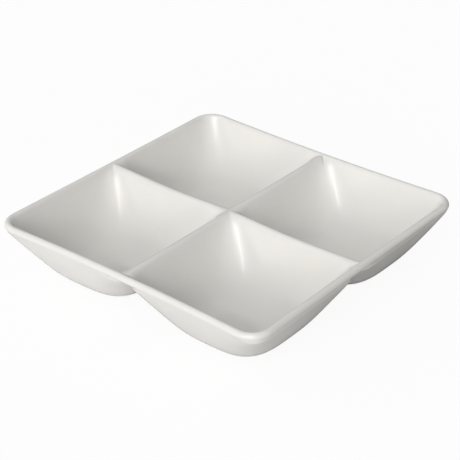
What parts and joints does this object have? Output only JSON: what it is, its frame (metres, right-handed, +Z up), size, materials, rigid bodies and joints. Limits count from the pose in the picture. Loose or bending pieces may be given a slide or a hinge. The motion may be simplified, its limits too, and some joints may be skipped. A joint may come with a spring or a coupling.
{
  "type": "divided serving bowl",
  "caption": "Square white porcelain serving dish divided into rounded wells by crossing ridges, with a rolled lip and a foot ring under each well.",
  "frame": {"origin": "on the surface that the dish stands on, under its middle", "axes": "+Z up; +X to the right and -Y to the front, both square to the sides of the dish"},
  "size_m": [0.24, 0.24, 0.05],
  "materials": {
    "glaze": "white porcelain under a clear, smooth, glossy glaze",
    "bisque": "bare fired porcelain, ground flat and matt"
  },
  "bodies": {
    "root": {"front_left_well": "glaze", "front_right_well": "glaze", "back_left_well": "glaze", "back_right_well": "glaze", "front_divider": "glaze", "back_divider": "glaze", "left_divider": "glaze", "right_divider": "glaze", "divider_crossing": "glaze", "rim": "glaze", "front_left_foot": "bisque", "front_right_foot": "bisque", "back_left_foot": "bisque", "back_right_foot": "bisque"}
  },
  "joints": []
}
